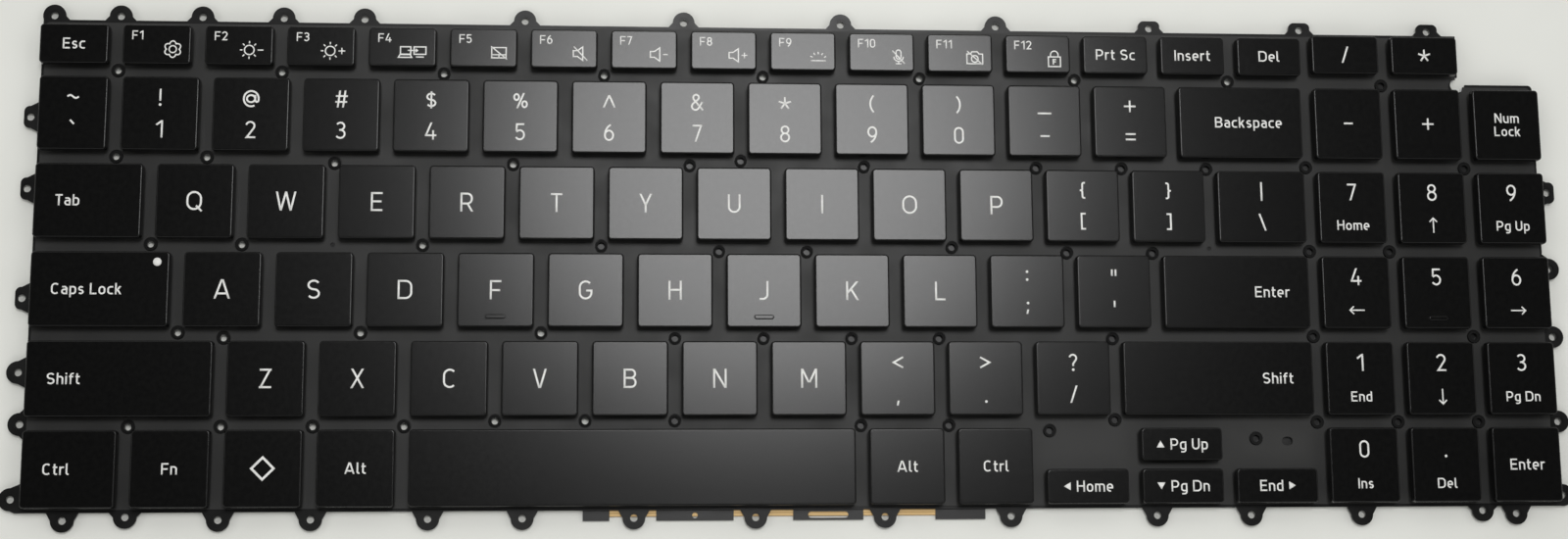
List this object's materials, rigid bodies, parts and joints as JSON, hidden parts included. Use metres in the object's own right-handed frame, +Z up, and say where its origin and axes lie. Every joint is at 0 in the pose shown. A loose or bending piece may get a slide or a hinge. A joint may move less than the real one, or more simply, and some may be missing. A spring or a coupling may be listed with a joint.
{
  "type": "laptop keyboard",
  "caption": "Full-size laptop keyboard module with a number pad: a thin black plate with holed edge tabs, and low scissor keycaps that press down on rubber domes over a backlight sheet.",
  "frame": {"origin": "middle of the whole outline, tabs included, on the underside of the backlight sheet that it lies on", "axes": "+X to the right along the rows, +Y towards the function row, +Z up through the key tops"},
  "size_m": [0.337, 0.1128, 0.0047],
  "materials": {
    "plate": "satin black paint",
    "keycap": "fine matte, moulded",
    "membrane": "black printed film",
    "mask": "black film",
    "guide": "white reflector on clear sheet",
    "strip": "amber flex circuit",
    "dome": "silicone rubber",
    "link": "moulded",
    "wire": "drawn wire"
  },
  "bodies": {
    "chassis": {"base_plate": "plate", "switch_membrane": "membrane", "light_mask": "mask", "light_guide": "guide", "backlight_strip": "strip", "rubber_domes": "dome", "scissor_links": "link", "stabiliser_wires": "wire", "upper_row_keys": "keycap", "number_pad_keys": "keycap"},
    "tab_key": {"key_tab": "keycap"},
    "q_key": {"key_q": "keycap"},
    "w_key": {"key_w": "keycap"},
    "e_key": {"key_e": "keycap"},
    "r_key": {"key_r": "keycap"},
    "t_key": {"key_t": "keycap"},
    "y_key": {"key_y": "keycap"},
    "u_key": {"key_u": "keycap"},
    "i_key": {"key_i": "keycap"},
    "o_key": {"key_o": "keycap"},
    "p_key": {"key_p": "keycap"},
    "bracket_left_key": {"key_bracket_left": "keycap"},
    "bracket_right_key": {"key_bracket_right": "keycap"},
    "backslash_key": {"key_backslash": "keycap"},
    "caps_lock_key": {"key_caps_lock": "keycap"},
    "a_key": {"key_a": "keycap"},
    "s_key": {"key_s": "keycap"},
    "d_key": {"key_d": "keycap"},
    "f_key": {"key_f": "keycap"},
    "g_key": {"key_g": "keycap"},
    "h_key": {"key_h": "keycap"},
    "j_key": {"key_j": "keycap"},
    "k_key": {"key_k": "keycap"},
    "l_key": {"key_l": "keycap"},
    "semicolon_key": {"key_semicolon": "keycap"},
    "quote_key": {"key_quote": "keycap"},
    "enter_key": {"key_enter": "keycap"},
    "shift_left_key": {"key_shift_left": "keycap"},
    "z_key": {"key_z": "keycap"},
    "x_key": {"key_x": "keycap"},
    "c_key": {"key_c": "keycap"},
    "v_key": {"key_v": "keycap"},
    "b_key": {"key_b": "keycap"},
    "n_key": {"key_n": "keycap"},
    "m_key": {"key_m": "keycap"},
    "comma_key": {"key_comma": "keycap"},
    "period_key": {"key_period": "keycap"},
    "slash_key": {"key_slash": "keycap"},
    "shift_right_key": {"key_shift_right": "keycap"},
    "ctrl_left_key": {"key_ctrl_left": "keycap"},
    "fn_key": {"key_fn": "keycap"},
    "system_key": {"key_system": "keycap"},
    "alt_left_key": {"key_alt_left": "keycap"},
    "space_key": {"key_space": "keycap"},
    "alt_right_key": {"key_alt_right": "keycap"},
    "ctrl_right_key": {"key_ctrl_right": "keycap"},
    "arrow_left_key": {"key_arrow_left": "keycap"},
    "arrow_down_key": {"key_arrow_down": "keycap"},
    "arrow_right_key": {"key_arrow_right": "keycap"},
    "arrow_up_key": {"key_arrow_up": "keycap"}
  },
  "joints": [
    {"name": "press_tab", "type": "slide", "parent": "chassis", "child": "tab_key", "axis": [0, 0, -1], "range_m": [0, 0.00125], "stiffness_N_per_m": 280, "springref_m": -0.0009, "deforming": ["rubber_domes", "scissor_links"]},
    {"name": "press_q", "type": "slide", "parent": "chassis", "child": "q_key", "axis": [0, 0, -1], "range_m": [0, 0.00125], "stiffness_N_per_m": 280, "springref_m": -0.0009, "deforming": ["rubber_domes", "scissor_links"]},
    {"name": "press_w", "type": "slide", "parent": "chassis", "child": "w_key", "axis": [0, 0, -1], "range_m": [0, 0.00125], "stiffness_N_per_m": 280, "springref_m": -0.0009, "deforming": ["rubber_domes", "scissor_links"]},
    {"name": "press_e", "type": "slide", "parent": "chassis", "child": "e_key", "axis": [0, 0, -1], "range_m": [0, 0.00125], "stiffness_N_per_m": 280, "springref_m": -0.0009, "deforming": ["rubber_domes", "scissor_links"]},
    {"name": "press_r", "type": "slide", "parent": "chassis", "child": "r_key", "axis": [0, 0, -1], "range_m": [0, 0.00125], "stiffness_N_per_m": 280, "springref_m": -0.0009, "deforming": ["rubber_domes", "scissor_links"]},
    {"name": "press_t", "type": "slide", "parent": "chassis", "child": "t_key", "axis": [0, 0, -1], "range_m": [0, 0.00125], "stiffness_N_per_m": 280, "springref_m": -0.0009, "deforming": ["rubber_domes", "scissor_links"]},
    {"name": "press_y", "type": "slide", "parent": "chassis", "child": "y_key", "axis": [0, 0, -1], "range_m": [0, 0.00125], "stiffness_N_per_m": 280, "springref_m": -0.0009, "deforming": ["rubber_domes", "scissor_links"]},
    {"name": "press_u", "type": "slide", "parent": "chassis", "child": "u_key", "axis": [0, 0, -1], "range_m": [0, 0.00125], "stiffness_N_per_m": 280, "springref_m": -0.0009, "deforming": ["rubber_domes", "scissor_links"]},
    {"name": "press_i", "type": "slide", "parent": "chassis", "child": "i_key", "axis": [0, 0, -1], "range_m": [0, 0.00125], "stiffness_N_per_m": 280, "springref_m": -0.0009, "deforming": ["rubber_domes", "scissor_links"]},
    {"name": "press_o", "type": "slide", "parent": "chassis", "child": "o_key", "axis": [0, 0, -1], "range_m": [0, 0.00125], "stiffness_N_per_m": 280, "springref_m": -0.0009, "deforming": ["rubber_domes", "scissor_links"]},
    {"name": "press_p", "type": "slide", "parent": "chassis", "child": "p_key", "axis": [0, 0, -1], "range_m": [0, 0.00125], "stiffness_N_per_m": 280, "springref_m": -0.0009, "deforming": ["rubber_domes", "scissor_links"]},
    {"name": "press_bracket_left", "type": "slide", "parent": "chassis", "child": "bracket_left_key", "axis": [0, 0, -1], "range_m": [0, 0.00125], "stiffness_N_per_m": 280, "springref_m": -0.0009, "deforming": ["rubber_domes", "scissor_links"]},
    {"name": "press_bracket_right", "type": "slide", "parent": "chassis", "child": "bracket_right_key", "axis": [0, 0, -1], "range_m": [0, 0.00125], "stiffness_N_per_m": 280, "springref_m": -0.0009, "deforming": ["rubber_domes", "scissor_links"]},
    {"name": "press_backslash", "type": "slide", "parent": "chassis", "child": "backslash_key", "axis": [0, 0, -1], "range_m": [0, 0.00125], "stiffness_N_per_m": 280, "springref_m": -0.0009, "deforming": ["rubber_domes", "scissor_links"]},
    {"name": "press_caps_lock", "type": "slide", "parent": "chassis", "child": "caps_lock_key", "axis": [0, 0, -1], "range_m": [0, 0.00125], "stiffness_N_per_m": 280, "springref_m": -0.0009, "deforming": ["rubber_domes", "scissor_links", "stabiliser_wires"]},
    {"name": "press_a", "type": "slide", "parent": "chassis", "child": "a_key", "axis": [0, 0, -1], "range_m": [0, 0.00125], "stiffness_N_per_m": 280, "springref_m": -0.0009, "deforming": ["rubber_domes", "scissor_links"]},
    {"name": "press_s", "type": "slide", "parent": "chassis", "child": "s_key", "axis": [0, 0, -1], "range_m": [0, 0.00125], "stiffness_N_per_m": 280, "springref_m": -0.0009, "deforming": ["rubber_domes", "scissor_links"]},
    {"name": "press_d", "type": "slide", "parent": "chassis", "child": "d_key", "axis": [0, 0, -1], "range_m": [0, 0.00125], "stiffness_N_per_m": 280, "springref_m": -0.0009, "deforming": ["rubber_domes", "scissor_links"]},
    {"name": "press_f", "type": "slide", "parent": "chassis", "child": "f_key", "axis": [0, 0, -1], "range_m": [0, 0.00125], "stiffness_N_per_m": 280, "springref_m": -0.0009, "deforming": ["rubber_domes", "scissor_links"]},
    {"name": "press_g", "type": "slide", "parent": "chassis", "child": "g_key", "axis": [0, 0, -1], "range_m": [0, 0.00125], "stiffness_N_per_m": 280, "springref_m": -0.0009, "deforming": ["rubber_domes", "scissor_links"]},
    {"name": "press_h", "type": "slide", "parent": "chassis", "child": "h_key", "axis": [0, 0, -1], "range_m": [0, 0.00125], "stiffness_N_per_m": 280, "springref_m": -0.0009, "deforming": ["rubber_domes", "scissor_links"]},
    {"name": "press_j", "type": "slide", "parent": "chassis", "child": "j_key", "axis": [0, 0, -1], "range_m": [0, 0.00125], "stiffness_N_per_m": 280, "springref_m": -0.0009, "deforming": ["rubber_domes", "scissor_links"]},
    {"name": "press_k", "type": "slide", "parent": "chassis", "child": "k_key", "axis": [0, 0, -1], "range_m": [0, 0.00125], "stiffness_N_per_m": 280, "springref_m": -0.0009, "deforming": ["rubber_domes", "scissor_links"]},
    {"name": "press_l", "type": "slide", "parent": "chassis", "child": "l_key", "axis": [0, 0, -1], "range_m": [0, 0.00125], "stiffness_N_per_m": 280, "springref_m": -0.0009, "deforming": ["rubber_domes", "scissor_links"]},
    {"name": "press_semicolon", "type": "slide", "parent": "chassis", "child": "semicolon_key", "axis": [0, 0, -1], "range_m": [0, 0.00125], "stiffness_N_per_m": 280, "springref_m": -0.0009, "deforming": ["rubber_domes", "scissor_links"]},
    {"name": "press_quote", "type": "slide", "parent": "chassis", "child": "quote_key", "axis": [0, 0, -1], "range_m": [0, 0.00125], "stiffness_N_per_m": 280, "springref_m": -0.0009, "deforming": ["rubber_domes", "scissor_links"]},
    {"name": "press_enter", "type": "slide", "parent": "chassis", "child": "enter_key", "axis": [0, 0, -1], "range_m": [0, 0.00125], "stiffness_N_per_m": 280, "springref_m": -0.0009, "deforming": ["rubber_domes", "scissor_links", "stabiliser_wires"]},
    {"name": "press_shift_left", "type": "slide", "parent": "chassis", "child": "shift_left_key", "axis": [0, 0, -1], "range_m": [0, 0.00125], "stiffness_N_per_m": 280, "springref_m": -0.0009, "deforming": ["rubber_domes", "scissor_links", "stabiliser_wires"]},
    {"name": "press_z", "type": "slide", "parent": "chassis", "child": "z_key", "axis": [0, 0, -1], "range_m": [0, 0.00125], "stiffness_N_per_m": 280, "springref_m": -0.0009, "deforming": ["rubber_domes", "scissor_links"]},
    {"name": "press_x", "type": "slide", "parent": "chassis", "child": "x_key", "axis": [0, 0, -1], "range_m": [0, 0.00125], "stiffness_N_per_m": 280, "springref_m": -0.0009, "deforming": ["rubber_domes", "scissor_links"]},
    {"name": "press_c", "type": "slide", "parent": "chassis", "child": "c_key", "axis": [0, 0, -1], "range_m": [0, 0.00125], "stiffness_N_per_m": 280, "springref_m": -0.0009, "deforming": ["rubber_domes", "scissor_links"]},
    {"name": "press_v", "type": "slide", "parent": "chassis", "child": "v_key", "axis": [0, 0, -1], "range_m": [0, 0.00125], "stiffness_N_per_m": 280, "springref_m": -0.0009, "deforming": ["rubber_domes", "scissor_links"]},
    {"name": "press_b", "type": "slide", "parent": "chassis", "child": "b_key", "axis": [0, 0, -1], "range_m": [0, 0.00125], "stiffness_N_per_m": 280, "springref_m": -0.0009, "deforming": ["rubber_domes", "scissor_links"]},
    {"name": "press_n", "type": "slide", "parent": "chassis", "child": "n_key", "axis": [0, 0, -1], "range_m": [0, 0.00125], "stiffness_N_per_m": 280, "springref_m": -0.0009, "deforming": ["rubber_domes", "scissor_links"]},
    {"name": "press_m", "type": "slide", "parent": "chassis", "child": "m_key", "axis": [0, 0, -1], "range_m": [0, 0.00125], "stiffness_N_per_m": 280, "springref_m": -0.0009, "deforming": ["rubber_domes", "scissor_links"]},
    {"name": "press_comma", "type": "slide", "parent": "chassis", "child": "comma_key", "axis": [0, 0, -1], "range_m": [0, 0.00125], "stiffness_N_per_m": 280, "springref_m": -0.0009, "deforming": ["rubber_domes", "scissor_links"]},
    {"name": "press_period", "type": "slide", "parent": "chassis", "child": "period_key", "axis": [0, 0, -1], "range_m": [0, 0.00125], "stiffness_N_per_m": 280, "springref_m": -0.0009, "deforming": ["rubber_domes", "scissor_links"]},
    {"name": "press_slash", "type": "slide", "parent": "chassis", "child": "slash_key", "axis": [0, 0, -1], "range_m": [0, 0.00125], "stiffness_N_per_m": 280, "springref_m": -0.0009, "deforming": ["rubber_domes", "scissor_links"]},
    {"name": "press_shift_right", "type": "slide", "parent": "chassis", "child": "shift_right_key", "axis": [0, 0, -1], "range_m": [0, 0.00125], "stiffness_N_per_m": 280, "springref_m": -0.0009, "deforming": ["rubber_domes", "scissor_links", "stabiliser_wires"]},
    {"name": "press_ctrl_left", "type": "slide", "parent": "chassis", "child": "ctrl_left_key", "axis": [0, 0, -1], "range_m": [0, 0.00125], "stiffness_N_per_m": 280, "springref_m": -0.0009, "deforming": ["rubber_domes", "scissor_links"]},
    {"name": "press_fn", "type": "slide", "parent": "chassis", "child": "fn_key", "axis": [0, 0, -1], "range_m": [0, 0.00125], "stiffness_N_per_m": 280, "springref_m": -0.0009, "deforming": ["rubber_domes", "scissor_links"]},
    {"name": "press_system", "type": "slide", "parent": "chassis", "child": "system_key", "axis": [0, 0, -1], "range_m": [0, 0.00125], "stiffness_N_per_m": 280, "springref_m": -0.0009, "deforming": ["rubber_domes", "scissor_links"]},
    {"name": "press_alt_left", "type": "slide", "parent": "chassis", "child": "alt_left_key", "axis": [0, 0, -1], "range_m": [0, 0.00125], "stiffness_N_per_m": 280, "springref_m": -0.0009, "deforming": ["rubber_domes", "scissor_links"]},
    {"name": "press_space", "type": "slide", "parent": "chassis", "child": "space_key", "axis": [0, 0, -1], "range_m": [0, 0.00125], "stiffness_N_per_m": 280, "springref_m": -0.0009, "deforming": ["rubber_domes", "scissor_links", "stabiliser_wires"]},
    {"name": "press_alt_right", "type": "slide", "parent": "chassis", "child": "alt_right_key", "axis": [0, 0, -1], "range_m": [0, 0.00125], "stiffness_N_per_m": 280, "springref_m": -0.0009, "deforming": ["rubber_domes", "scissor_links"]},
    {"name": "press_ctrl_right", "type": "slide", "parent": "chassis", "child": "ctrl_right_key", "axis": [0, 0, -1], "range_m": [0, 0.00125], "stiffness_N_per_m": 280, "springref_m": -0.0009, "deforming": ["rubber_domes", "scissor_links"]},
    {"name": "press_arrow_left", "type": "slide", "parent": "chassis", "child": "arrow_left_key", "axis": [0, 0, -1], "range_m": [0, 0.00125], "stiffness_N_per_m": 280, "springref_m": -0.0009, "deforming": ["rubber_domes", "scissor_links"]},
    {"name": "press_arrow_down", "type": "slide", "parent": "chassis", "child": "arrow_down_key", "axis": [0, 0, -1], "range_m": [0, 0.00125], "stiffness_N_per_m": 280, "springref_m": -0.0009, "deforming": ["rubber_domes", "scissor_links"]},
    {"name": "press_arrow_right", "type": "slide", "parent": "chassis", "child": "arrow_right_key", "axis": [0, 0, -1], "range_m": [0, 0.00125], "stiffness_N_per_m": 280, "springref_m": -0.0009, "deforming": ["rubber_domes", "scissor_links"]},
    {"name": "press_arrow_up", "type": "slide", "parent": "chassis", "child": "arrow_up_key", "axis": [0, 0, -1], "range_m": [0, 0.00125], "stiffness_N_per_m": 280, "springref_m": -0.0009, "deforming": ["rubber_domes", "scissor_links"]}
  ]
}
